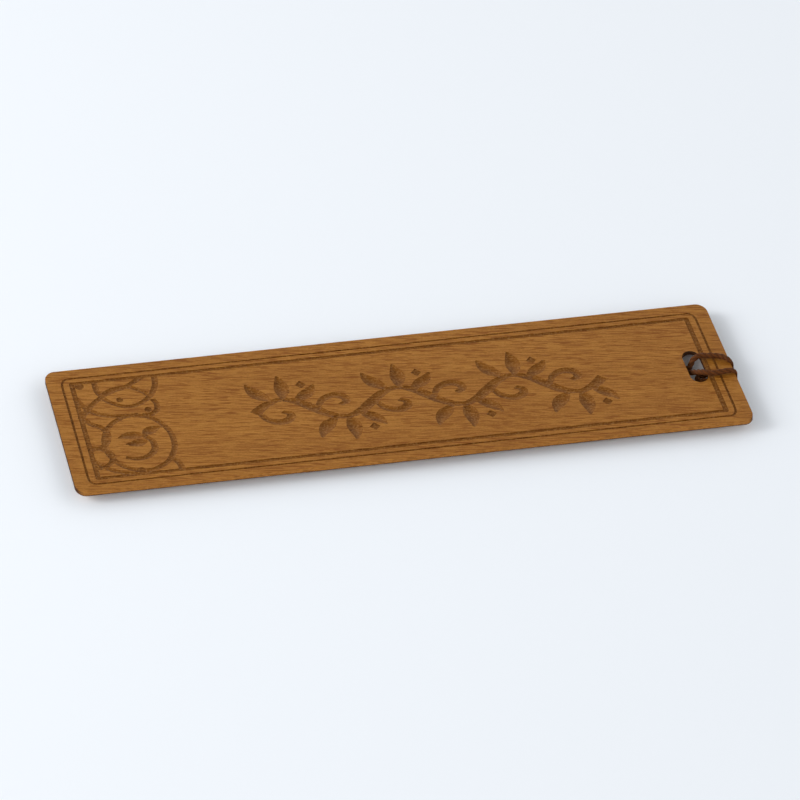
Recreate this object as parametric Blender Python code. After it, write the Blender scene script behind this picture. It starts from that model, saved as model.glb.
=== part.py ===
"""A thin engraved wooden plaque with a twisted cord tied round one end.

The plaque lies face up. +X runs along its length to the end with the cord, +Y runs across it and +Z is up.
The cord's two cut ends lie under the plaque and carry it, so its back is one cord above the table at z = 0.
The origin is on the table, under the middle of the plaque and the cord's wrap taken together.
"""

import math

import bmesh
import bpy
import numpy as np

MM = 0.001

# The plaque
PLATE_LENGTH = 150.0 * MM
PLATE_WIDTH = 49.0 * MM
PLATE_THICKNESS = 1.0 * MM
PLATE_CORNER_ALONG = 2.4 * MM
PLATE_CORNER_ACROSS = 3.4 * MM

# The slot for the cord: its long axis runs across the plaque, and its ends are half ellipses
SLOT_WIDTH = 4.05 * MM
SLOT_LENGTH = 12.9 * MM
SLOT_END_DEPTH = 2.9 * MM
SLOT_TO_END = 6.0 * MM
SLOT_OFF_CENTRE = -0.8 * MM

# The engraved frame: a thin outer line and a broader inner band, both cut into the face
FRAME_OFF_CENTRE = -0.4 * MM
LINE_INSET_ENDS = 3.1 * MM
LINE_INSET_SIDES = 2.98 * MM
LINE_WIDTH = 0.45 * MM
LINE_CORNER_ALONG = 1.8 * MM
LINE_CORNER_ACROSS = 3.0 * MM
BAND_SPACING = 1.35 * MM
BAND_WIDTH = 1.1 * MM
BAND_CORNER_ALONG = 0.5 * MM
BAND_CORNER_ACROSS = 0.8 * MM
SMALLEST_CORNER = 0.15 * MM
ENGRAVING_DEPTH = 0.15 * MM

# The cord
CORD_DIAMETER = 1.2 * MM
CORD_GAP = 0.3 * MM
WRAP_POINT_SPACING = 0.75 * MM
TAIL_POINT_SPACING = 3.2 * MM
CORD_ROUNDNESS = 2

CORNER_STEPS = 10
SLOT_END_STEPS = 20
CUTTER_REACH = 1.0 * MM

# Heights that follow from the plaque lying on its cord
CORD_RADIUS = CORD_DIAMETER / 2
BACK_Z = CORD_DIAMETER + CORD_GAP
FACE_Z = BACK_Z + PLATE_THICKNESS
UNDER_Z = CORD_RADIUS
OVER_Z = FACE_Z + CORD_GAP + CORD_RADIUS

# Places along the plaque, from its own middle
END_X = PLATE_LENGTH / 2
SLOT_END_SIDE_X = END_X - SLOT_TO_END
SLOT_FAR_SIDE_X = SLOT_END_SIDE_X - SLOT_WIDTH
SLOT_MIDDLE_X = SLOT_END_SIDE_X - SLOT_WIDTH / 2

# The cord's middle line keeps this far from the wood, straight on and diagonally at the end's two edges
REACH = CORD_RADIUS + CORD_GAP
DIAGONAL_REACH = REACH * math.sqrt(0.5)

# Where the cord's loop under the end strip turns back, and how far apart its two starting ends lie
LOOP_TIP_X = SLOT_FAR_SIDE_X + CORD_GAP + 1.45 * CORD_DIAMETER
START_FAR_Y = 1.8 * MM
START_NEAR_Y = START_FAR_Y - 1.45 * CORD_DIAMETER


def smooth_route(points, spacing):
    """Points at an even spacing along a smooth curve through the route's own points, kept above the table."""
    points = np.array(points)
    first = 2 * points[0] - points[1]
    last = 2 * points[-1] - points[-2]
    padded = np.vstack([first, points, last])
    fine = []
    for p0, p1, p2, p3 in zip(padded, padded[1:], padded[2:], padded[3:]):
        for t in np.linspace(0, 1, 24, endpoint=False):
            fine.append(
                0.5
                * (
                    2 * p1
                    + (p2 - p0) * t
                    + (2 * p0 - 5 * p1 + 4 * p2 - p3) * t**2
                    + (3 * p1 - p0 - 3 * p2 + p3) * t**3
                )
            )
    fine = np.array(fine + [points[-1]])
    along = np.concatenate([[0], np.cumsum(np.linalg.norm(np.diff(fine, axis=0), axis=1))])
    count = max(2, round(along[-1] / spacing)) + 1
    places = np.linspace(0, along[-1], count)
    route = np.column_stack([np.interp(places, along, fine[:, axis]) for axis in range(3)])
    route[:, 2] = np.maximum(route[:, 2], UNDER_Z)
    return route


# The wrap, from under the plaque up through the slot, over the end strip and down round the end. It goes back
# under the strip as a loop that ends below the slot, and then the same way out again beside the first turn
WRAP_ROUTE = [
    (SLOT_FAR_SIDE_X - 3.4 * MM, START_FAR_Y + 0.4 * MM, UNDER_Z),
    (SLOT_FAR_SIDE_X - 1.5 * MM, START_FAR_Y, UNDER_Z),
    (SLOT_FAR_SIDE_X + 0.2 * MM, START_FAR_Y - 0.3 * MM, UNDER_Z),
    (SLOT_MIDDLE_X - 0.8 * MM, 1.4 * MM, UNDER_Z + 0.3 * MM),
    (SLOT_MIDDLE_X - 0.3 * MM, 1.8 * MM, UNDER_Z + 0.9 * MM),
    (SLOT_MIDDLE_X + 0.1 * MM, 2.1 * MM, FACE_Z - 0.3 * MM),
    (SLOT_END_SIDE_X - 1.1 * MM, 2.0 * MM, OVER_Z - 0.4 * MM),
    (SLOT_END_SIDE_X + 0.2 * MM, 1.75 * MM, OVER_Z),
    (SLOT_END_SIDE_X + 1.8 * MM, 1.5 * MM, OVER_Z),
    (END_X - 2.2 * MM, 1.0 * MM, OVER_Z),
    (END_X - 0.5 * MM, -0.1 * MM, OVER_Z),
    (END_X + DIAGONAL_REACH, -0.8 * MM, FACE_Z + DIAGONAL_REACH),
    (END_X + REACH, -1.3 * MM, (FACE_Z + BACK_Z) / 2),
    (END_X + DIAGONAL_REACH, -1.8 * MM, BACK_Z - DIAGONAL_REACH),
    (END_X - 0.5 * MM, -2.0 * MM, UNDER_Z),
    (END_X - 2.2 * MM, -2.0 * MM, UNDER_Z),
    (SLOT_END_SIDE_X + 1.2 * MM, -1.9 * MM, UNDER_Z),
    (LOOP_TIP_X + 1.0 * MM, -2.0 * MM, UNDER_Z),
    (LOOP_TIP_X + 0.3 * MM, -2.35 * MM, UNDER_Z),
    (LOOP_TIP_X, -3.1 * MM, UNDER_Z),
    (LOOP_TIP_X + 0.3 * MM, -3.85 * MM, UNDER_Z),
    (LOOP_TIP_X + 1.0 * MM, -4.2 * MM, UNDER_Z),
    (SLOT_END_SIDE_X + 1.2 * MM, -4.3 * MM, UNDER_Z),
    (END_X - 2.2 * MM, -4.7 * MM, UNDER_Z),
    (END_X - 0.5 * MM, -4.9 * MM, UNDER_Z),
    (END_X + DIAGONAL_REACH, -5.05 * MM, BACK_Z - DIAGONAL_REACH),
    (END_X + REACH, -5.1 * MM, (FACE_Z + BACK_Z) / 2),
    (END_X + DIAGONAL_REACH, -5.15 * MM, FACE_Z + DIAGONAL_REACH),
    (END_X - 0.5 * MM, -5.25 * MM, OVER_Z),
    (END_X - 2.2 * MM, -5.5 * MM, OVER_Z),
    (SLOT_END_SIDE_X + 1.4 * MM, -5.6 * MM, OVER_Z),
    (SLOT_END_SIDE_X - 0.3 * MM, -5.1 * MM, OVER_Z - 0.05 * MM),
    (SLOT_MIDDLE_X + 0.8 * MM, -4.1 * MM, OVER_Z - 0.5 * MM),
    (SLOT_MIDDLE_X - 0.05 * MM, -2.7 * MM, FACE_Z - 0.3 * MM),
    (SLOT_MIDDLE_X - 0.8 * MM, -1.5 * MM, UNDER_Z + 0.9 * MM),
    (SLOT_FAR_SIDE_X + 0.8 * MM, START_NEAR_Y - 0.5 * MM, UNDER_Z + 0.2 * MM),
    (SLOT_FAR_SIDE_X - 1.5 * MM, START_NEAR_Y, UNDER_Z),
    (SLOT_FAR_SIDE_X - 3.4 * MM, START_NEAR_Y, UNDER_Z),
]
WRAP_POINTS = smooth_route(WRAP_ROUTE, WRAP_POINT_SPACING)

# The tails leave the wrap's two ends and lie on the table under the plaque, spread apart so that it rests level
TAIL_START_X = SLOT_FAR_SIDE_X - 3.4 * MM - CORD_GAP
FAR_TAIL_ROUTE = [
    (TAIL_START_X, START_FAR_Y + 0.5 * MM, UNDER_Z),
    (TAIL_START_X - 10 * MM, 5.0 * MM, UNDER_Z),
    (TAIL_START_X - 28 * MM, 9.0 * MM, UNDER_Z),
    (TAIL_START_X - 52 * MM, 10.2 * MM, UNDER_Z),
    (TAIL_START_X - 78 * MM, 8.6 * MM, UNDER_Z),
    (TAIL_START_X - 100 * MM, 9.6 * MM, UNDER_Z),
]
NEAR_TAIL_ROUTE = [
    (TAIL_START_X, START_NEAR_Y, UNDER_Z),
    (TAIL_START_X - 9 * MM, -2.4 * MM, UNDER_Z),
    (TAIL_START_X - 26 * MM, -8.4 * MM, UNDER_Z),
    (TAIL_START_X - 50 * MM, -10.6 * MM, UNDER_Z),
    (TAIL_START_X - 74 * MM, -8.8 * MM, UNDER_Z),
    (TAIL_START_X - 95 * MM, -10.2 * MM, UNDER_Z),
]

# Everything moves back by half of what the wrap adds beyond the end, which centres the pair on the origin
WRAP_OVERHANG = max(point[0] for point in WRAP_POINTS) + CORD_RADIUS - END_X
PLATE_X = -WRAP_OVERHANG / 2


def clear_scene():
    for obj in list(bpy.data.objects):
        bpy.data.objects.remove(obj, do_unlink=True)


def make_material(name, colour, roughness):
    material = bpy.data.materials.new(name)
    material.use_nodes = True
    shader = material.node_tree.nodes["Principled BSDF"]
    shader.inputs["Base Color"].default_value = (*colour, 1.0)
    shader.inputs["Roughness"].default_value = roughness
    shader.inputs["Metallic"].default_value = 0.0
    return material


def rounded_rectangle(length, width, corner, centre_x, centre_y):
    """The outline's points, anticlockwise from the corner at +X and -Y. corner is its reach along X and Y."""
    outline = []
    for quarter, (side_x, side_y) in enumerate([(1, -1), (1, 1), (-1, 1), (-1, -1)]):
        middle_x = centre_x + side_x * (length / 2 - corner[0])
        middle_y = centre_y + side_y * (width / 2 - corner[1])
        for step in range(CORNER_STEPS + 1):
            angle = math.radians(90 * (quarter - 1) + 90 * step / CORNER_STEPS)
            outline.append((middle_x + corner[0] * math.cos(angle), middle_y + corner[1] * math.sin(angle)))
    return outline


def round_ended_slot(length, width, end_depth, centre_x, centre_y):
    """The slot's outline, anticlockwise: two straight sides along Y joined by half ellipses."""
    outline = []
    for side, start in ((1, 0), (-1, 180)):
        middle_y = centre_y + side * (length / 2 - end_depth)
        for step in range(SLOT_END_STEPS + 1):
            angle = math.radians(start + 180 * step / SLOT_END_STEPS)
            outline.append(
                (centre_x + width / 2 * math.cos(angle), middle_y + end_depth * math.sin(angle))
            )
    return outline


def new_object(name, mesh_maker):
    mesh = bpy.data.meshes.new(name)
    bm = bmesh.new()
    mesh_maker(bm)
    bmesh.ops.recalc_face_normals(bm, faces=bm.faces)
    bm.to_mesh(mesh)
    bm.free()
    obj = bpy.data.objects.new(name, mesh)
    bpy.context.collection.objects.link(obj)
    return obj


def extruded(name, outline, low_z, high_z):
    def build(bm):
        base = bm.faces.new([bm.verts.new((x, y, low_z)) for x, y in outline])
        grown = bmesh.ops.extrude_face_region(bm, geom=[base])["geom"]
        rising = [item for item in grown if isinstance(item, bmesh.types.BMVert)]
        bmesh.ops.translate(bm, verts=rising, vec=(0, 0, high_z - low_z))

    return new_object(name, build)


def extruded_ring(name, outer, inner, low_z, high_z):
    """A closed frame between two outlines that have the same number of points."""

    def build(bm):
        loops = []
        for outline, z in ((outer, low_z), (outer, high_z), (inner, high_z), (inner, low_z)):
            loops.append([bm.verts.new((x, y, z)) for x, y in outline])
        for loop, following in zip(loops, loops[1:] + loops[:1]):
            for index in range(len(loop)):
                after = (index + 1) % len(loop)
                bm.faces.new((loop[index], loop[after], following[after], following[index]))

    return new_object(name, build)


def cut(target, cutter):
    cutter.hide_render = True
    cutter.display_type = "WIRE"
    modifier = target.modifiers.new(cutter.name, "BOOLEAN")
    modifier.operation = "DIFFERENCE"
    modifier.solver = "EXACT"
    modifier.object = cutter


def groove_ring(name, inset_ends, inset_sides, width, corner):
    """A cutter for one line of the engraved frame: its outer edge is at the insets."""
    length = PLATE_LENGTH - 2 * inset_ends
    across = PLATE_WIDTH - 2 * inset_sides
    outer = rounded_rectangle(length, across, corner, PLATE_X, FRAME_OFF_CENTRE)
    inner_corner = [max(reach - width, SMALLEST_CORNER) for reach in corner]
    inner = rounded_rectangle(
        length - 2 * width, across - 2 * width, inner_corner, PLATE_X, FRAME_OFF_CENTRE
    )
    return extruded_ring(name, outer, inner, FACE_Z - ENGRAVING_DEPTH, FACE_Z + CUTTER_REACH)


def make_plate(material):
    corner = (PLATE_CORNER_ALONG, PLATE_CORNER_ACROSS)
    outline = rounded_rectangle(PLATE_LENGTH, PLATE_WIDTH, corner, PLATE_X, 0)
    plate = extruded("wooden_plaque", outline, BACK_Z, FACE_Z)
    plate.data.materials.append(material)
    slot_outline = round_ended_slot(
        SLOT_LENGTH, SLOT_WIDTH, SLOT_END_DEPTH, PLATE_X + SLOT_MIDDLE_X, SLOT_OFF_CENTRE
    )
    slot = extruded("slot_cutter", slot_outline, BACK_Z - CUTTER_REACH, FACE_Z + CUTTER_REACH)
    cut(plate, slot)
    line = groove_ring(
        "line_cutter",
        LINE_INSET_ENDS,
        LINE_INSET_SIDES,
        LINE_WIDTH,
        (LINE_CORNER_ALONG, LINE_CORNER_ACROSS),
    )
    cut(plate, line)
    step_in = LINE_WIDTH + BAND_SPACING
    band = groove_ring(
        "band_cutter",
        LINE_INSET_ENDS + step_in,
        LINE_INSET_SIDES + step_in,
        BAND_WIDTH,
        (BAND_CORNER_ALONG, BAND_CORNER_ACROSS),
    )
    cut(plate, band)
    return plate


def make_cord(name, points, material):
    curve = bpy.data.curves.new(name, "CURVE")
    curve.dimensions = "3D"
    curve.bevel_depth = CORD_RADIUS
    curve.bevel_resolution = CORD_ROUNDNESS
    curve.use_fill_caps = True
    spline = curve.splines.new("POLY")
    spline.points.add(len(points) - 1)
    for target, (x, y, z) in zip(spline.points, points):
        target.co = (x + PLATE_X, y, z, 1.0)
    spline.use_smooth = True
    curve.materials.append(material)
    cord = bpy.data.objects.new(name, curve)
    bpy.context.collection.objects.link(cord)
    return cord


clear_scene()
beech = make_material("beech", (0.30, 0.135, 0.04), 0.55)
twisted_cord = make_material("twisted_cord", (0.13, 0.042, 0.014), 0.8)
make_plate(beech)
make_cord("cord_wrap", WRAP_POINTS, twisted_cord)
make_cord("cord_tail_far", smooth_route(FAR_TAIL_ROUTE, TAIL_POINT_SPACING), twisted_cord)
make_cord("cord_tail_near", smooth_route(NEAR_TAIL_ROUTE, TAIL_POINT_SPACING), twisted_cord)
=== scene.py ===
"""An engraved beech plaque lying face up, with a twisted cord looped through its slot."""

import math

import bmesh
import bpy
import numpy as np
from mathutils import Matrix, Vector


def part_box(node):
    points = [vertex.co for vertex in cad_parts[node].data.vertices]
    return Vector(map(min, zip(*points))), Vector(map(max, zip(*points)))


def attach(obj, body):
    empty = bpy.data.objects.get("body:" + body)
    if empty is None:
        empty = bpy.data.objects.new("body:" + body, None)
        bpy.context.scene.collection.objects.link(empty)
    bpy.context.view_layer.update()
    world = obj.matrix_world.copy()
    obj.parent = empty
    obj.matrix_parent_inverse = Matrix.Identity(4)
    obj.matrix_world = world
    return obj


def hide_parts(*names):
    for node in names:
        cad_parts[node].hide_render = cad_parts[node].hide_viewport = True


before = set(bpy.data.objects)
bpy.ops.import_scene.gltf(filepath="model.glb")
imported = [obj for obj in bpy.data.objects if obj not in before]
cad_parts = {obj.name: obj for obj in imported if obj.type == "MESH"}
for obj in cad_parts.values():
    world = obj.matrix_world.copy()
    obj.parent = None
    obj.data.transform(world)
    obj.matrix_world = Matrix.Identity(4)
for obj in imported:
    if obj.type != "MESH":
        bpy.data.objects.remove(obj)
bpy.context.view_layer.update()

MM = 0.001
board_low, board_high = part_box("wooden_plaque")
board_middle = (board_low + board_high) / 2


# The camera: a long lens a metre and a half away. It looks down at the face from the near side, a little from
# the left.
CAMERA_DISTANCE = 1.44915
CAMERA_RIGHT_OF_MIDDLE = 0.000555
CAMERA_BELOW_MIDDLE = 0.000806
camera_azimuth = math.radians(-11.1575)
camera_elevation = math.radians(32.8919)
camera_back = Vector(
    (
        math.sin(camera_azimuth) * math.cos(camera_elevation),
        -math.cos(camera_azimuth) * math.cos(camera_elevation),
        math.sin(camera_elevation),
    )
)
camera_right = Vector((math.cos(camera_azimuth), math.sin(camera_azimuth), 0))
camera_up = camera_back.cross(camera_right)
camera_data = bpy.data.cameras.new("camera")
camera_data.sensor_width = 36.0
camera_data.lens = 296.79
camera_data.clip_start = 0.05
camera_data.clip_end = 20.0
camera = bpy.data.objects.new("camera", camera_data)
bpy.context.collection.objects.link(camera)
face_middle = Vector((board_middle.x, board_middle.y, board_high.z))
camera_place = face_middle + CAMERA_DISTANCE * camera_back
camera_place += CAMERA_RIGHT_OF_MIDDLE * camera_right - CAMERA_BELOW_MIDDLE * camera_up
camera_turn = Matrix((camera_right, camera_up, camera_back)).transposed().to_4x4()
camera.matrix_world = Matrix.Translation(camera_place) @ camera_turn
bpy.context.scene.camera = camera


# The floor and the light: a pale table in a studio with bright walls and a dim ceiling. One wide soft light
# stands low on the left.
WALL_LIGHT = 2.34
CEILING_LIGHT = 0.04
bpy.ops.mesh.primitive_plane_add(size=6.0, location=(0, 0, 0))
floor = bpy.context.object
floor.name = "floor"
floor_material = bpy.data.materials.new("pale table")
floor_material.use_nodes = True
floor_shader = floor_material.node_tree.nodes["Principled BSDF"]
floor_shader.inputs["Base Color"].default_value = (0.84, 0.88, 0.93, 1)
floor_shader.inputs["Roughness"].default_value = 0.9
floor_shader.inputs["Specular IOR Level"].default_value = 0.0
floor.data.materials.append(floor_material)
world = bpy.data.worlds.new("studio walls")
bpy.context.scene.world = world
world.use_nodes = True
nodes, links = world.node_tree.nodes, world.node_tree.links
direction = nodes.new("ShaderNodeTexCoord")
height = nodes.new("ShaderNodeSeparateXYZ")
walls_to_ceiling = nodes.new("ShaderNodeMapRange")
walls_to_ceiling.interpolation_type = "SMOOTHSTEP"
walls_to_ceiling.inputs["From Min"].default_value = 0.35
walls_to_ceiling.inputs["From Max"].default_value = 0.80
walls_to_ceiling.inputs["To Min"].default_value = WALL_LIGHT
walls_to_ceiling.inputs["To Max"].default_value = CEILING_LIGHT
links.new(direction.outputs["Generated"], height.inputs["Vector"])
links.new(height.outputs["Z"], walls_to_ceiling.inputs["Value"])
links.new(walls_to_ceiling.outputs["Result"], nodes["Background"].inputs["Strength"])
nodes["Background"].inputs["Color"].default_value = (1, 1, 1, 1)
key_data = bpy.data.lights.new("wide soft light", "AREA")
key_data.shape = "RECTANGLE"
key_data.size = 0.5
key_data.size_y = 0.4
key_data.energy = 6.0
key_light = bpy.data.objects.new("wide soft light", key_data)
bpy.context.collection.objects.link(key_light)
key_light.location = (-0.95, 0.15, 0.45)
key_light.rotation_euler = (face_middle - key_light.location).to_track_quat("-Z", "Y").to_euler()
bpy.context.scene.view_settings.view_transform = "Standard"


# The board: a thin strip of beech cut out by laser, with rounded corners and the long slot for the cord. Its
# edges are toasted by the cut; the ends are deepened with painted shade and the long sides are painted
# lighter, as where light falls.
CORNER_ALONG = 2.4 * MM
CORNER_ACROSS = 3.4 * MM
EDGE_BREAK = 0.08 * MM
END_STRIP_WIDTH = 6.0 * MM
SLOT_WIDTH = 4.05 * MM
SLOT_LENGTH = 12.9 * MM
SLOT_END_DEPTH = 2.9 * MM
SLOT_OFF_CENTRE = -0.8 * MM
SLOT_CUTTER_HEIGHT = 4.0 * MM
end_x = board_high.x
slot_end_x = end_x - END_STRIP_WIDTH
slot_far_x = slot_end_x - SLOT_WIDTH
slot_middle_x = (slot_end_x + slot_far_x) / 2

# A slot end's rounding stops just short of its middle, because two that meet leave a doubled edge
ALMOST_WHOLE = 0.999


def solid_block(name, middle, size, corner):
    """A block whose four upright edges are rounded, by corner[0] along X and corner[1] along Y."""
    bpy.ops.object.select_all(action="DESELECT")
    squeeze = corner[0] / corner[1]
    bpy.ops.mesh.primitive_cube_add(size=1, location=middle, scale=(size[0], size[1] * squeeze, size[2]))
    block = bpy.context.object
    block.name = name
    bpy.ops.object.transform_apply(location=True, rotation=True, scale=True)
    bpy.ops.object.mode_set(mode="EDIT")
    bpy.ops.mesh.select_mode(type="EDGE")
    bpy.ops.mesh.select_all(action="DESELECT")
    bm = bmesh.from_edit_mesh(block.data)
    for edge in bm.edges:
        first, second = edge.verts
        edge.select_set(abs(first.co.z - second.co.z) > size[2] / 2)
    bmesh.update_edit_mesh(block.data)
    bpy.ops.mesh.bevel(offset=corner[0] * ALMOST_WHOLE, segments=14, profile=0.5)
    bpy.ops.mesh.select_all(action="SELECT")
    bpy.ops.transform.resize(value=(1, 1 / squeeze, 1), center_override=middle)
    bpy.ops.object.mode_set(mode="OBJECT")
    return block


def cut_away(target, cutter, self_crossing):
    """Takes the cutter out of the target. The new faces keep the cutter's material."""
    modifier = target.modifiers.new("cut", "BOOLEAN")
    modifier.operation = "DIFFERENCE"
    modifier.solver = "EXACT"
    modifier.use_self = self_crossing
    modifier.material_mode = "TRANSFER"
    modifier.object = cutter
    bpy.context.view_layer.objects.active = target
    bpy.ops.object.modifier_apply(modifier=modifier.name)
    bpy.data.objects.remove(cutter, do_unlink=True)


beech = bpy.data.materials.new("sanded beech")
board_edge = bpy.data.materials.new("cut edge of the board")
toasted_edge = bpy.data.materials.new("toasted wall of the slot")
engraved_beech = bpy.data.materials.new("engraved beech")

board = solid_block(
    "beech_board", board_middle, board_high - board_low, (CORNER_ALONG, CORNER_ACROSS)
)

# The sharp rims of the face and of the back are taken off a little
bpy.ops.object.mode_set(mode="EDIT")
bpy.ops.mesh.select_mode(type="EDGE")
bpy.ops.mesh.select_all(action="DESELECT")
bm = bmesh.from_edit_mesh(board.data)
for edge in bm.edges:
    first, second = edge.verts
    level = abs(first.co.z - second.co.z) < 1e-6
    edge.select_set(level and len(edge.link_faces) == 2 and abs(edge.calc_face_angle(0)) > 1)
bmesh.update_edit_mesh(board.data)
bpy.ops.mesh.bevel(offset=EDGE_BREAK, segments=2, profile=0.5)
bpy.ops.object.mode_set(mode="OBJECT")
board.data.materials.append(beech)
board.data.materials.append(board_edge)
for face in board.data.polygons:
    face.material_index = 1 if abs(face.normal.z) < 0.5 else 0

slot_middle = Vector((slot_middle_x, SLOT_OFF_CENTRE, board_middle.z))
slot_cutter = solid_block(
    "slot cutter",
    slot_middle,
    (SLOT_WIDTH, SLOT_LENGTH, SLOT_CUTTER_HEIGHT),
    (SLOT_WIDTH / 2, SLOT_END_DEPTH),
)
slot_cutter.data.materials.append(toasted_edge)
cut_away(board, slot_cutter, False)


# The engraving: everything the laser has burnt a little way into the face. First comes the frame, which is a
# thin outer line and a broader band inside it.
ENGRAVING_DEPTH = 0.15 * MM
CUTTER_HEIGHT = 2.0 * MM
FRAME_OFF_CENTRE = -0.4 * MM
LINE_INSET = (3.06 * MM, 2.94 * MM)
LINE_WIDTH = 0.53 * MM
LINE_CORNER = (1.8 * MM, 3.0 * MM)
BAND_SPACING = 1.31 * MM
BAND_WIDTH = 1.1 * MM
BAND_CORNER = (0.5 * MM, 0.8 * MM)
engraving_floor = board_high.z - ENGRAVING_DEPTH
cutters = []


def frame_ring(inset, width, corner):
    """A rounded rectangle of the given width, drawn flat and raised into a cutter.

    Its corners are given as in solid_block.
    """
    bpy.ops.object.select_all(action="DESELECT")
    length = board_high.x - board_low.x - 2 * inset[0]
    across = board_high.y - board_low.y - 2 * inset[1]
    squeeze = corner[0] / corner[1]
    middle = Vector((board_middle.x, FRAME_OFF_CENTRE, engraving_floor))
    bpy.ops.mesh.primitive_plane_add(size=1, location=middle)
    ring = bpy.context.object
    ring.scale = (length, across * squeeze, 1)
    bpy.ops.object.transform_apply(location=True, rotation=True, scale=True)
    bpy.ops.object.mode_set(mode="EDIT")
    bpy.ops.mesh.select_all(action="SELECT")
    bpy.ops.mesh.bevel(offset=corner[0], segments=10, affect="VERTICES")
    bpy.ops.mesh.select_all(action="SELECT")
    bpy.ops.transform.resize(value=(1, 1 / squeeze, 1), center_override=middle)
    bpy.ops.mesh.inset(thickness=width)
    bpy.ops.mesh.delete(type="FACE")
    bpy.ops.mesh.select_all(action="SELECT")
    bpy.ops.mesh.extrude_region_move(TRANSFORM_OT_translate={"value": (0, 0, CUTTER_HEIGHT)})
    bpy.ops.mesh.select_all(action="SELECT")
    bpy.ops.mesh.normals_make_consistent(inside=False)
    bpy.ops.object.mode_set(mode="OBJECT")
    return ring


cutters.append(frame_ring(LINE_INSET, LINE_WIDTH, LINE_CORNER))
step_in = LINE_WIDTH + BAND_SPACING
band_inset = (LINE_INSET[0] + step_in, LINE_INSET[1] + step_in)
cutters.append(frame_ring(band_inset, BAND_WIDTH, BAND_CORNER))


# The strokes: the interlaced ornament and the leafy scroll are drawn with a broad pen, and its width changes
# along each stroke. Places are in millimetres from the board's left end and its middle line.
NARROWEST_STROKE = 0.08
MERGE_WITHIN = 0.01 * MM


def pen_stroke(points, closed=False):
    """One stroke through (x, y, width) points, as a flat ribbon raised into a cutter.

    The curve is extruded half a millimetre each way, so a radius of 1 makes a stroke 1 mm wide.
    """
    bpy.ops.object.select_all(action="DESELECT")
    curve = bpy.data.curves.new("stroke", "CURVE")
    curve.dimensions = "3D"
    curve.twist_mode = "Z_UP"
    curve.extrude = 0.5 * MM
    curve.resolution_u = 9
    spline = curve.splines.new("BEZIER")
    spline.bezier_points.add(len(points) - 1)
    for target, (x, y, width) in zip(spline.bezier_points, points):
        target.co = (board_low.x + x * MM, board_middle.y + y * MM, engraving_floor)
        target.handle_left_type = "AUTO"
        target.handle_right_type = "AUTO"
        target.radius = max(width, NARROWEST_STROKE)
        target.tilt = math.pi / 2
    spline.radius_interpolation = "BSPLINE"
    spline.use_cyclic_u = closed
    stroke = bpy.data.objects.new("stroke", curve)
    bpy.context.collection.objects.link(stroke)
    stroke.select_set(True)
    bpy.context.view_layer.objects.active = stroke
    bpy.ops.object.convert(target="MESH")
    stroke = bpy.context.object
    bpy.ops.object.mode_set(mode="EDIT")
    bpy.ops.mesh.select_all(action="SELECT")
    bpy.ops.mesh.remove_doubles(threshold=MERGE_WITHIN)
    bpy.ops.mesh.extrude_region_move(TRANSFORM_OT_translate={"value": (0, 0, CUTTER_HEIGHT)})
    bpy.ops.mesh.select_all(action="SELECT")
    bpy.ops.mesh.normals_make_consistent(inside=False)
    bpy.ops.object.mode_set(mode="OBJECT")
    cutters.append(stroke)


def dot(x, y, radius, sides=24):
    """A round dot, or a lozenge with four sides, a little taller than wide."""
    bpy.ops.object.select_all(action="DESELECT")
    place = (board_low.x + x * MM, board_middle.y + y * MM, engraving_floor + CUTTER_HEIGHT / 2)
    bpy.ops.mesh.primitive_cylinder_add(
        vertices=sides, radius=radius * MM, depth=CUTTER_HEIGHT, location=place
    )
    mark = bpy.context.object
    mark.scale = (1.0, 1.3, 1.0)
    bpy.ops.object.transform_apply(location=True, rotation=True, scale=True)
    cutters.append(mark)


# The ornament fills the left end of the frame: a big ring, a festoon hung from the frame with an almond in
# it, and a lattice of arches along the left side.
RING_STEPS = 12


def ring_stroke(x, y, reach_x, reach_y, width):
    """A closed ring round a place, drawn as an oval."""
    points = []
    for step in range(RING_STEPS):
        angle = 2 * math.pi * step / RING_STEPS
        points.append((x + reach_x * math.cos(angle), y + reach_y * math.sin(angle), width))
    pen_stroke(points, closed=True)


ring_stroke(16.4, -7.4, 7.5, 11.0, 1.35)
ORNAMENT_STROKES = [
    [
        (23.9, 18.8, 1.4),
        (23.2, 14.0, 1.4),
        (20.8, 9.6, 1.5),
        (16.8, 7.4, 1.3),
        (13.0, 9.4, 1.3),
        (10.7, 13.8, 1.3),
        (10.4, 18.8, 1.4),
    ],
    [(10.9, 12.6, 1.2), (13.6, 14.9, 1.1), (17.0, 15.3, 1.2), (20.0, 13.2, 1.3), (21.8, 10.4, 1.4)],
    [(21.0, 18.6, 1.5), (17.2, 15.6, 1.3), (11.6, 12.6, 1.2), (8.0, 8.6, 1.5), (5.4, 4.4, 1.6)],
    [(5.4, 12.6, 1.4), (7.2, 8.2, 1.5), (10.0, 5.2, 1.4), (14.0, 3.9, 1.3), (18.0, 3.8, 1.3)],
    [
        (5.3, 5.2, 1.5),
        (7.0, 2.2, 1.5),
        (9.6, -0.6, 1.5),
        (10.0, -4.4, 1.4),
        (8.4, -7.4, 1.4),
        (5.2, -8.4, 1.5),
    ],
    [
        (5.3, -7.4, 1.5),
        (8.2, -8.6, 1.4),
        (9.8, -11.0, 1.4),
        (9.2, -14.0, 1.4),
        (7.0, -15.6, 1.3),
        (5.2, -15.8, 1.3),
    ],
    [(5.2, -12.0, 1.3), (7.4, -15.4, 1.3), (10.4, -18.0, 1.4), (14.0, -19.4, 1.4)],
    [(22.0, -14.0, 1.3), (23.4, -16.4, 1.4), (24.0, -19.4, 1.5)],
    [(22.0, 9.4, 1.3), (22.6, 6.6, 1.3), (21.2, 3.6, 1.5), (19.0, 3.4, 1.5)],
]
for points in ORNAMENT_STROKES:
    pen_stroke(points)
for x, y, radius in ((14.9, 10.4, 0.75), (15.2, -18.2, 0.9), (20.4, 5.4, 0.8), (7.0, 17.4, 1.0)):
    dot(x, y, radius)


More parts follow.
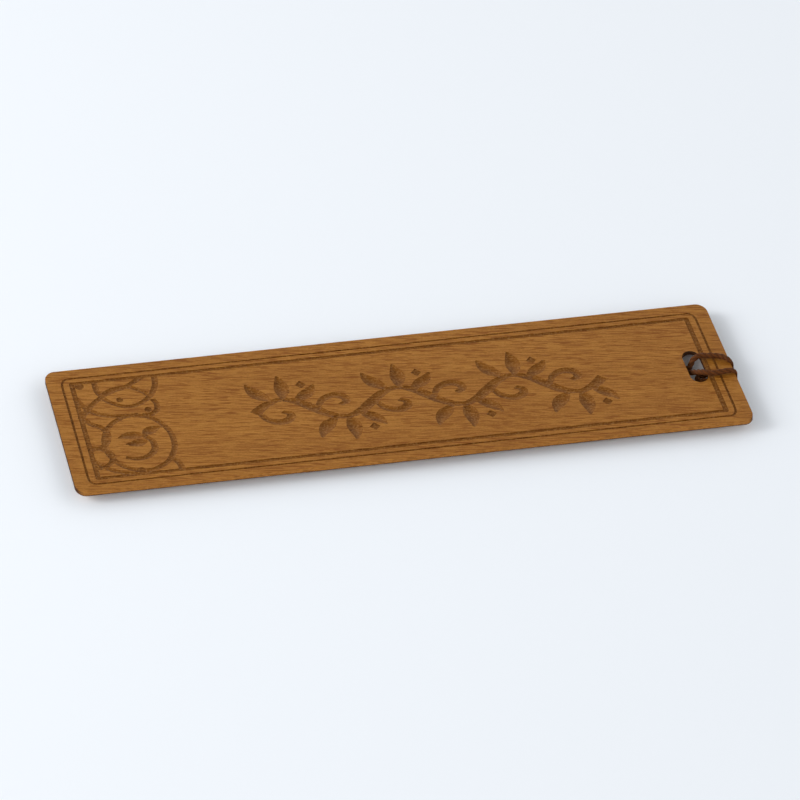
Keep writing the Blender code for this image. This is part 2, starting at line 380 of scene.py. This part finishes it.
def leaf(x, y, heading, length, width, curl=0.15):
    """A pointed leaf that starts at a place and bends a little to one side."""
    points = []
    for along, share in ((0, 0.1), (0.15, 0.55), (0.4, 1.0), (0.7, 0.75), (1.0, 0.05)):
        angle = math.radians(heading) + curl * math.pi * along
        points.append(
            (x + length * along * math.cos(angle), y + length * along * math.sin(angle), width * share)
        )
    pen_stroke(points)


# Inside the ring is a small sprig with a curved stem and three leaves.
pen_stroke([(12.6, -12.6, 1.1), (15.6, -13.6, 1.5), (18.6, -11.8, 1.7), (19.4, -7.8, 1.5), (17.8, -4.6, 1.2)])
leaf(17.9, -5.0, 150, 5.8, 3.5)
leaf(17.9, -4.8, 62, 5.2, 3.3, -0.15)
leaf(18.2, -6.8, 205, 4.8, 3.1, -0.1)


# The scroll is a wavy stem along the middle of the board, thickest where it is steepest. Each bend carries
# three leaves, a curl and a lozenge, above and below in turn.
SCROLL_LEFT = 43.0
SCROLL_RIGHT = 121.0
SCROLL_Y = -1.0
SCROLL_SWING = 4.6
WAVES = 3
STEM_STEPS = WAVES * 8
stem = []
for step in range(STEM_STEPS + 1):
    share = step / STEM_STEPS
    swing = 2 * math.pi * WAVES * share
    x = SCROLL_LEFT + (SCROLL_RIGHT - SCROLL_LEFT) * share
    stem.append((x, SCROLL_Y + SCROLL_SWING * math.sin(swing), 1.2 + 1.6 * abs(math.cos(swing))))
pen_stroke(stem)
for step in range(WAVES * 2):
    share = (step + 0.5) / (WAVES * 2)
    up = 1 if step % 2 == 0 else -1
    x = SCROLL_LEFT + (SCROLL_RIGHT - SCROLL_LEFT) * share
    y = SCROLL_Y + up * SCROLL_SWING
    leaf(x + 0.5, y, up * 78, 9.6, 3.8, 0.06 * up)
    leaf(x - 2.0, y, up * 140, 8.8, 3.8, -0.1 * up)
    leaf(x + 3.0, y - up * 1.0, up * 30, 7.8, 3.6, 0.1 * up)
    pen_stroke(
        [
            (x - 5.5, y - up * 4.6, 1.2),
            (x - 3.4, y - up * 8.0, 2.0),
            (x - 0.2, y - up * 8.6, 2.5),
            (x + 1.2, y - up * 6.2, 1.9),
            (x - 0.4, y - up * 4.8, 1.2),
        ]
    )
    dot(x + 5.4, y + up * 5.2, 1.2, 4)

bpy.ops.object.select_all(action="DESELECT")
for cutter in cutters:
    cutter.select_set(True)
bpy.context.view_layer.objects.active = cutters[0]
bpy.ops.object.join()
engraving = bpy.context.object
engraving.data.materials.clear()
engraving.data.materials.append(engraved_beech)
cut_away(board, engraving, True)
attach(board, "root")
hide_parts("wooden_plaque")


# Beech: a pale brown wood with short dark flecks that run along the grain, a few degrees off the board's
# length, broad faint bands, long fine streaks and pores. One group gives these as masks to every material of
# the board.
figure = bpy.data.node_groups.new("beech figure", "ShaderNodeTree")
figure.interface.new_socket(name="Place", in_out="INPUT", socket_type="NodeSocketVector")
for socket_name in ("Flecks", "Bands", "Streaks", "Pores"):
    figure.interface.new_socket(name=socket_name, in_out="OUTPUT", socket_type="NodeSocketFloat")
nodes, links = figure.nodes, figure.links
group_in = nodes.new("NodeGroupInput")
group_out = nodes.new("NodeGroupOutput")
grain_turn = nodes.new("ShaderNodeMapping")
grain_turn.vector_type = "TEXTURE"
grain_turn.inputs["Rotation"].default_value = (0, 0, math.radians(-11))
links.new(group_in.outputs["Place"], grain_turn.inputs["Vector"])


def grain_noise(length, width, detail, low, high):
    """Noise stretched along the grain, each grain about length by width, as a mask from low to high."""
    stretch = nodes.new("ShaderNodeMapping")
    stretch.inputs["Scale"].default_value = (1 / length, 1 / width, 1 / width)
    noise = nodes.new("ShaderNodeTexNoise")
    noise.inputs["Scale"].default_value = 1.0
    noise.inputs["Detail"].default_value = detail
    noise.inputs["Roughness"].default_value = 0.55
    mask = nodes.new("ShaderNodeMapRange")
    mask.interpolation_type = "SMOOTHSTEP"
    mask.inputs["From Min"].default_value = low
    mask.inputs["From Max"].default_value = high
    links.new(grain_turn.outputs["Vector"], stretch.inputs["Vector"])
    links.new(stretch.outputs["Vector"], noise.inputs["Vector"])
    links.new(noise.outputs["Fac"], mask.inputs["Value"])
    return mask.outputs["Result"]


long_flecks = grain_noise(length=4.4 * MM, width=0.26 * MM, detail=0.0, low=0.60, high=0.69)
short_flecks = grain_noise(length=2.6 * MM, width=0.20 * MM, detail=0.0, low=0.60, high=0.68)
bands = grain_noise(length=70 * MM, width=6.0 * MM, detail=2.0, low=0.3, high=0.7)
streaks = grain_noise(length=9 * MM, width=0.35 * MM, detail=2.0, low=0.35, high=0.65)
pores = grain_noise(length=0.5 * MM, width=0.25 * MM, detail=2.0, low=0.3, high=0.7)
all_flecks = nodes.new("ShaderNodeMath")
all_flecks.operation = "MAXIMUM"
links.new(long_flecks, all_flecks.inputs[0])
links.new(short_flecks, all_flecks.inputs[1])
links.new(all_flecks.outputs["Value"], group_out.inputs["Flecks"])
links.new(bands, group_out.inputs["Bands"])
links.new(streaks, group_out.inputs["Streaks"])
links.new(pores, group_out.inputs["Pores"])


def beech_material(material, pale, dark, fleck, fleck_share, roughness, bump):
    """Pale and dark wood mixed by the bands, streaks and pores, with the flecks over them.

    It gives back the finished colour and the place on the board, for a material that adds to them.
    """
    material.use_nodes = True
    nodes, links = material.node_tree.nodes, material.node_tree.links
    shader = nodes["Principled BSDF"]
    shader.inputs["Roughness"].default_value = roughness
    shader.inputs["Specular IOR Level"].default_value = 0.06
    place = nodes.new("ShaderNodeTexCoord")
    masks = nodes.new("ShaderNodeGroup")
    masks.node_tree = figure
    links.new(place.outputs["Object"], masks.inputs["Place"])
    tone = None
    for mask, share in (("Bands", 0.25), ("Streaks", 0.35), ("Pores", 0.4)):
        part = nodes.new("ShaderNodeMath")
        part.operation = "MULTIPLY_ADD"
        part.inputs[1].default_value = share
        part.inputs[2].default_value = 0.0
        links.new(masks.outputs[mask], part.inputs[0])
        if tone:
            links.new(tone, part.inputs[2])
        tone = part.outputs["Value"]
    wood = nodes.new("ShaderNodeMix")
    wood.data_type = "RGBA"
    wood.inputs["A"].default_value = (*pale, 1)
    wood.inputs["B"].default_value = (*dark, 1)
    links.new(tone, wood.inputs["Factor"])
    fleck_strength = nodes.new("ShaderNodeMath")
    fleck_strength.operation = "MULTIPLY"
    fleck_strength.inputs[1].default_value = fleck_share
    links.new(masks.outputs["Flecks"], fleck_strength.inputs[0])
    flecked = nodes.new("ShaderNodeMix")
    flecked.data_type = "RGBA"
    flecked.inputs["B"].default_value = (*fleck, 1)
    links.new(wood.outputs["Result"], flecked.inputs["A"])
    links.new(fleck_strength.outputs["Value"], flecked.inputs["Factor"])
    links.new(flecked.outputs["Result"], shader.inputs["Base Color"])
    relief = nodes.new("ShaderNodeBump")
    relief.inputs["Strength"].default_value = bump
    relief.inputs["Distance"].default_value = 0.03 * MM
    links.new(masks.outputs["Pores"], relief.inputs["Height"])
    links.new(relief.outputs["Normal"], shader.inputs["Normal"])
    return flecked.outputs["Result"], place.outputs["Object"]


beech_material(
    beech,
    pale=(0.396, 0.173, 0.028),
    dark=(0.214, 0.077, 0.008),
    fleck=(0.180, 0.053, 0.003),
    fleck_share=0.88,
    roughness=0.6,
    bump=0.3,
)
beech_material(
    toasted_edge,
    pale=(0.060, 0.024, 0.010),
    dark=(0.030, 0.012, 0.006),
    fleck=(0.015, 0.007, 0.004),
    fleck_share=0.6,
    roughness=0.8,
    bump=0.4,
)

# The engraving is burnt darker, with patches of pale ash left on its floor
burnt_wood, burnt_place = beech_material(
    engraved_beech,
    pale=(0.218, 0.082, 0.013),
    dark=(0.134, 0.046, 0.005),
    fleck=(0.088, 0.027, 0.002),
    fleck_share=0.9,
    roughness=0.8,
    bump=0.5,
)
nodes, links = engraved_beech.node_tree.nodes, engraved_beech.node_tree.links
ash_noise = nodes.new("ShaderNodeTexNoise")
ash_noise.inputs["Scale"].default_value = 1 / (0.45 * MM)
ash_noise.inputs["Detail"].default_value = 1.0
ash_mask = nodes.new("ShaderNodeMapRange")
ash_mask.inputs["From Min"].default_value = 0.48
ash_mask.inputs["From Max"].default_value = 0.70
ash_mask.inputs["To Max"].default_value = 0.5
ash = nodes.new("ShaderNodeMix")
ash.data_type = "RGBA"
ash.inputs["B"].default_value = (0.31, 0.146, 0.042, 1)
links.new(burnt_place, ash_noise.inputs["Vector"])
links.new(ash_noise.outputs["Fac"], ash_mask.inputs["Value"])
links.new(ash_mask.outputs["Result"], ash.inputs["Factor"])
links.new(burnt_wood, ash.inputs["A"])
links.new(ash.outputs["Result"], nodes["Principled BSDF"].inputs["Base Color"])

# The edge that the laser cut along the grain is painted light, as where light falls on it, with a dark rim
# below.
# Both ends are toasted dark and deepened with painted shade.
# Each of the two fades in from its first distance to its second, measured from the end or from the back.
END_TOAST_AND_SHADE = (1.6 * MM, 0.3 * MM)
RIM_TOAST = (0.30 * MM, 0.10 * MM)
# The pale colour of the long sides is painted light on a toasted edge.
edge_wood, edge_place = beech_material(
    board_edge,
    pale=(0.33, 0.142, 0.032),
    dark=(0.23, 0.092, 0.019),
    fleck=(0.15, 0.055, 0.011),
    fleck_share=0.6,
    roughness=0.7,
    bump=0.4,
)
nodes, links = board_edge.node_tree.nodes, board_edge.node_tree.links
split = nodes.new("ShaderNodeSeparateXYZ")
links.new(edge_place, split.inputs["Vector"])
from_middle = nodes.new("ShaderNodeMath")
from_middle.operation = "SUBTRACT"
from_middle.inputs[1].default_value = board_middle.x
links.new(split.outputs["X"], from_middle.inputs[0])
distance = nodes.new("ShaderNodeMath")
distance.operation = "ABSOLUTE"
links.new(from_middle.outputs["Value"], distance.inputs[0])
# The ends' darkening: toasted wood with painted shade over it.
end_toast_and_shade_mask = nodes.new("ShaderNodeMapRange")
end_toast_and_shade_mask.inputs["From Min"].default_value = board_high.x - board_middle.x - END_TOAST_AND_SHADE[0]
end_toast_and_shade_mask.inputs["From Max"].default_value = board_high.x - board_middle.x - END_TOAST_AND_SHADE[1]
links.new(distance.outputs["Value"], end_toast_and_shade_mask.inputs["Value"])
rim_mask = nodes.new("ShaderNodeMapRange")
rim_mask.inputs["From Min"].default_value = board_low.z + RIM_TOAST[0]
rim_mask.inputs["From Max"].default_value = board_low.z + RIM_TOAST[1]
links.new(split.outputs["Z"], rim_mask.inputs["Value"])
toast_and_shade = nodes.new("ShaderNodeMath")
toast_and_shade.operation = "MAXIMUM"
links.new(end_toast_and_shade_mask.outputs["Result"], toast_and_shade.inputs[0])
links.new(rim_mask.outputs["Result"], toast_and_shade.inputs[1])
toasted = nodes.new("ShaderNodeMix")
toasted.data_type = "RGBA"
toasted.inputs["B"].default_value = (0.045, 0.018, 0.008, 1)
links.new(toast_and_shade.outputs["Value"], toasted.inputs["Factor"])
links.new(edge_wood, toasted.inputs["A"])
links.new(toasted.outputs["Result"], nodes["Principled BSDF"].inputs["Base Color"])


# The cord: one length of brown three-ply twisted cord, pulled tight by hand. It comes up through the slot,
# crosses the end strip, goes down round the end, makes a loop under the strip and comes back the same way.
# Its two cut ends lie under the board.
CORD_DIAMETER = 1.2 * MM
PLY_COUNT = 3
PLY_RADIUS = 0.38 * MM
PLY_OFF_CENTRE = 0.27 * MM
CORD_REACH = PLY_OFF_CENTRE + PLY_RADIUS
TWIST_LENGTH = 4.2 * MM
PLY_SIDES = 10
PLY_SHIFT = 0.37
ROUTE_STEPS = 24


def smooth_route(points, spacing):
    """Points at an even spacing along a smooth curve through the route's own points, kept above the table."""
    points = np.array(points)
    padded = np.vstack([2 * points[0] - points[1], points, 2 * points[-1] - points[-2]])
    fine = []
    for p0, p1, p2, p3 in zip(padded, padded[1:], padded[2:], padded[3:]):
        for t in np.linspace(0, 1, ROUTE_STEPS, endpoint=False):
            bend = (2 * p0 - 5 * p1 + 4 * p2 - p3) * t**2 + (3 * p1 - p0 - 3 * p2 + p3) * t**3
            fine.append(0.5 * (2 * p1 + (p2 - p0) * t + bend))
    fine = np.array(fine + [points[-1]])
    along = np.concatenate([[0], np.cumsum(np.linalg.norm(np.diff(fine[:, :3], axis=0), axis=1))])
    count = max(2, round(along[-1] / spacing)) + 1
    places = np.linspace(0, along[-1], count)
    route = np.column_stack([np.interp(places, along, fine[:, column]) for column in range(4)])
    route[:, 2] = np.maximum(route[:, 2], CORD_REACH)
    return route


def frames_along(route):
    """Tangent, side and other side at each point, turned as little as possible from one point to the next."""
    tangents = np.gradient(route, axis=0)
    tangents /= np.linalg.norm(tangents, axis=1)[:, None]
    side = np.cross(tangents[0], (0.0, 0.0, 1.0))
    sides = []
    for tangent in tangents:
        side = side - tangent * np.dot(side, tangent)
        side /= np.linalg.norm(side)
        sides.append(side)
    sides = np.array(sides)
    return tangents, sides, np.cross(tangents, sides)


def twisted_cord(name, places, twist_start):
    """The plies wound round the route, with u round each ply, v along it and crest from groove to outside.

    PLY_SHIFT moves v from ply to ply, so that their fibres differ.
    """
    route, thickness = places[:, :3], places[:, 3]
    wood = np.clip(route, np.array(board_low), np.array(board_high))
    pressed = route - wood
    pressed[:, 1] = 0
    pressed /= np.maximum(np.linalg.norm(pressed, axis=1), 1e-9)[:, None]
    steps = np.linalg.norm(np.diff(route, axis=0), axis=1)
    along = np.concatenate([[0], np.cumsum(steps)])
    _, side, other = frames_along(route)
    bm = bmesh.new()
    uv_layer = bm.loops.layers.uv.new("UVMap")
    crest = bm.verts.layers.float.new("crest")
    for ply in range(PLY_COUNT):
        turn_angle = twist_start + 2 * math.pi * (along / TWIST_LENGTH + ply / PLY_COUNT)
        outward = side * np.cos(turn_angle)[:, None] + other * np.sin(turn_angle)[:, None]
        line = route + PLY_OFF_CENTRE * outward
        _, ply_side, ply_other = frames_along(line)
        rings = []
        for index, centre in enumerate(line):
            ring = []
            for step in range(PLY_SIDES):
                angle = 2 * math.pi * step / PLY_SIDES
                reach = math.cos(angle) * ply_side[index] + math.sin(angle) * ply_other[index]
                place = centre + PLY_RADIUS * reach
                off = np.dot(place - route[index], pressed[index])
                place = place - (1 - thickness[index]) * off * pressed[index]
                vert = bm.verts.new(place)
                vert[crest] = float(np.dot(reach, outward[index]))
                ring.append(vert)
            rings.append(ring)
        for index, (ring, following) in enumerate(zip(rings, rings[1:])):
            for step in range(PLY_SIDES):
                after = (step + 1) % PLY_SIDES
                face = bm.faces.new((ring[step], ring[after], following[after], following[step]))
                face.smooth = True
                corners = ((step, index), (step + 1, index), (step + 1, index + 1), (step, index + 1))
                for loop, (round_ply, ahead) in zip(face.loops, corners):
                    turns = along[ahead] / TWIST_LENGTH + ply * PLY_SHIFT
                    loop[uv_layer].uv = (round_ply / PLY_SIDES, turns)
        bm.faces.new(reversed(rings[0]))
        bm.faces.new(rings[-1])
    bmesh.ops.recalc_face_normals(bm, faces=bm.faces)
    mesh = bpy.data.meshes.new(name)
    bm.to_mesh(mesh)
    bm.free()
    cord = bpy.data.objects.new(name, mesh)
    bpy.context.collection.objects.link(cord)
    return cord


# Each place on the wrap has a fourth value, how thick the cord still is where the wood presses it: a little
# less than whole on the face and less than half round the end of the board.
TOUCH = 0.05 * MM
ON_THE_FACE = 0.95
ROUND_THE_END = 0.4
under_z = CORD_DIAMETER / 2
cord_gap = board_low.z - CORD_DIAMETER
over_z = board_high.z + TOUCH + ON_THE_FACE * CORD_REACH
pressed_x = end_x + TOUCH + ROUND_THE_END * CORD_REACH
wrap_far_x = slot_far_x - 3.4 * MM
WRAP_ROUTE = [
    (wrap_far_x, 2.2 * MM, under_z, 1.0),
    (slot_far_x - 1.5 * MM, 1.8 * MM, under_z, 1.0),
    (slot_far_x + 0.2 * MM, 1.5 * MM, under_z, 1.0),
    (slot_middle_x - 0.8 * MM, 1.4 * MM, under_z + 0.3 * MM, 1.0),
    (slot_middle_x - 0.3 * MM, 1.8 * MM, under_z + 0.9 * MM, 1.0),
    (slot_middle_x + 0.1 * MM, 2.15 * MM, board_high.z - 0.3 * MM, 1.0),
    (slot_middle_x + 0.8 * MM, 2.2 * MM, over_z - 0.25 * MM, 1.0),
    (slot_end_x - 0.2 * MM, 2.25 * MM, over_z + 0.03 * MM, ON_THE_FACE),
    (slot_end_x + 1.9 * MM, 2.0 * MM, over_z, ON_THE_FACE),
    (end_x - 2.1 * MM, 1.45 * MM, over_z, ON_THE_FACE),
    (end_x - 1.1 * MM, 0.7 * MM, over_z, 0.9),
    (end_x - 0.2 * MM, -0.2 * MM, board_high.z + 0.36 * MM, 0.6),
    (pressed_x, -1.0 * MM, board_high.z - 0.1 * MM, ROUND_THE_END),
    (pressed_x, -1.7 * MM, board_low.z + 0.1 * MM, ROUND_THE_END),
    (end_x - 0.1 * MM, -2.0 * MM, under_z + 0.15 * MM, 0.8),
    (end_x - 2.0 * MM, -2.0 * MM, under_z, 1.0),
    (slot_end_x + 1.2 * MM, -1.9 * MM, under_z, 1.0),
    (slot_middle_x + 1.0 * MM, -2.0 * MM, under_z, 1.0),
    (slot_middle_x + 0.3 * MM, -2.35 * MM, under_z, 1.0),
    (slot_middle_x, -3.1 * MM, under_z, 1.0),
    (slot_middle_x + 0.3 * MM, -3.85 * MM, under_z, 1.0),
    (slot_middle_x + 1.0 * MM, -4.2 * MM, under_z, 1.0),
    (slot_end_x + 1.2 * MM, -4.3 * MM, under_z, 1.0),
    (end_x - 2.0 * MM, -4.7 * MM, under_z, 1.0),
    (end_x - 0.1 * MM, -4.9 * MM, under_z + 0.15 * MM, 0.8),
    (pressed_x, -4.95 * MM, board_low.z + 0.1 * MM, ROUND_THE_END),
    (pressed_x, -4.95 * MM, board_high.z - 0.1 * MM, ROUND_THE_END),
    (end_x - 0.2 * MM, -4.85 * MM, board_high.z + 0.36 * MM, 0.6),
    (end_x - 1.1 * MM, -4.75 * MM, over_z, 0.9),
    (end_x - 2.4 * MM, -4.9 * MM, over_z, ON_THE_FACE),
    (slot_end_x + 1.4 * MM, -5.2 * MM, over_z, ON_THE_FACE),
    (slot_end_x - 0.3 * MM, -4.85 * MM, over_z + 0.03 * MM, ON_THE_FACE),
    (slot_middle_x + 0.8 * MM, -4.0 * MM, over_z - 0.2 * MM, 1.0),
    (slot_middle_x - 0.05 * MM, -2.65 * MM, board_high.z - 0.3 * MM, 1.0),
    (slot_middle_x - 0.8 * MM, -1.5 * MM, under_z + 0.9 * MM, 1.0),
    (slot_far_x + 0.7 * MM, -0.4 * MM, under_z + 0.2 * MM, 1.0),
    (slot_far_x - 1.5 * MM, 0.06 * MM, under_z, 1.0),
    (wrap_far_x, 0.06 * MM, under_z, 1.0),
]
wrap = twisted_cord("twisted_cord_wrap", smooth_route(WRAP_ROUTE, spacing=0.2 * MM), twist_start=0.4)
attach(wrap, "root")
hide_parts("cord_wrap")

# The tails run on from the wrap's two ends, with a small gap between the pieces
tail_x = wrap_far_x - cord_gap
FAR_TAIL_ROUTE = [
    (tail_x, 2.3 * MM, under_z, 1.0),
    (tail_x - 10 * MM, 5.0 * MM, under_z, 1.0),
    (tail_x - 28 * MM, 9.0 * MM, under_z, 1.0),
    (tail_x - 52 * MM, 10.2 * MM, under_z, 1.0),
    (tail_x - 78 * MM, 8.6 * MM, under_z, 1.0),
    (tail_x - 100 * MM, 9.6 * MM, under_z, 1.0),
]
NEAR_TAIL_ROUTE = [
    (tail_x, 0.06 * MM, under_z, 1.0),
    (tail_x - 9 * MM, -2.4 * MM, under_z, 1.0),
    (tail_x - 26 * MM, -8.4 * MM, under_z, 1.0),
    (tail_x - 50 * MM, -10.6 * MM, under_z, 1.0),
    (tail_x - 74 * MM, -8.8 * MM, under_z, 1.0),
    (tail_x - 95 * MM, -10.2 * MM, under_z, 1.0),
]
cords = [wrap]
for tail_name, node, points in (
    ("twisted_tail_far", "cord_tail_far", FAR_TAIL_ROUTE),
    ("twisted_tail_near", "cord_tail_near", NEAR_TAIL_ROUTE),
):
    route = smooth_route(points, spacing=0.5 * MM)
    tail = twisted_cord(tail_name, route, twist_start=1.3)
    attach(tail, "root")
    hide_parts(node)
    cords.append(tail)

cord_material = bpy.data.materials.new("brown twisted cord")
cord_material.use_nodes = True
nodes, links = cord_material.node_tree.nodes, cord_material.node_tree.links
cord_shader = nodes["Principled BSDF"]
cord_shader.inputs["Roughness"].default_value = 0.75
cord_shader.inputs["Specular IOR Level"].default_value = 0.12
cord_uv = nodes.new("ShaderNodeUVMap")
cord_uv.uv_map = "UVMap"
fibre_map = nodes.new("ShaderNodeMapping")
fibre_map.inputs["Scale"].default_value = (7.0, 9.0, 1.0)
fibre_map.inputs["Rotation"].default_value = (0, 0, math.radians(-35))
fibres = nodes.new("ShaderNodeTexNoise")
fibres.inputs["Scale"].default_value = 2.2
fibres.inputs["Detail"].default_value = 4.0
# The grooves between the plies are painted darker than the crests: painted shade in the creases.
crest_value = nodes.new("ShaderNodeAttribute")
crest_value.attribute_name = "crest"
groove_shade_mask = nodes.new("ShaderNodeMapRange")
groove_shade_mask.inputs["From Min"].default_value = -0.5
groove_shade_mask.inputs["From Max"].default_value = 1.0
groove_shade_to_crest = nodes.new("ShaderNodeMix")
groove_shade_to_crest.data_type = "RGBA"
groove_shade_to_crest.inputs["A"].default_value = (0.026, 0.008, 0.002, 1)
groove_shade_to_crest.inputs["B"].default_value = (0.101, 0.030, 0.005, 1)
fibre_shade = nodes.new("ShaderNodeMapRange")
fibre_shade.inputs["From Min"].default_value = 0.3
fibre_shade.inputs["From Max"].default_value = 0.7
fibre_shade.inputs["To Min"].default_value = 0.55
fibre_shade.inputs["To Max"].default_value = 1.35
fibre_tint = nodes.new("ShaderNodeMix")
fibre_tint.data_type = "RGBA"
fibre_tint.blend_type = "MULTIPLY"
fibre_tint.inputs["Factor"].default_value = 1.0
fibre_bump = nodes.new("ShaderNodeBump")
fibre_bump.inputs["Strength"].default_value = 0.5
fibre_bump.inputs["Distance"].default_value = 0.05 * MM
links.new(cord_uv.outputs["UV"], fibre_map.inputs["Vector"])
links.new(fibre_map.outputs["Vector"], fibres.inputs["Vector"])
links.new(crest_value.outputs["Fac"], groove_shade_mask.inputs["Value"])
links.new(groove_shade_mask.outputs["Result"], groove_shade_to_crest.inputs["Factor"])
links.new(fibres.outputs["Fac"], fibre_shade.inputs["Value"])
links.new(groove_shade_to_crest.outputs["Result"], fibre_tint.inputs["A"])
links.new(fibre_shade.outputs["Result"], fibre_tint.inputs["B"])
links.new(fibre_tint.outputs["Result"], cord_shader.inputs["Base Color"])
links.new(fibres.outputs["Fac"], fibre_bump.inputs["Height"])
links.new(fibre_bump.outputs["Normal"], cord_shader.inputs["Normal"])
for cord in cords:
    cord.data.materials.append(cord_material)
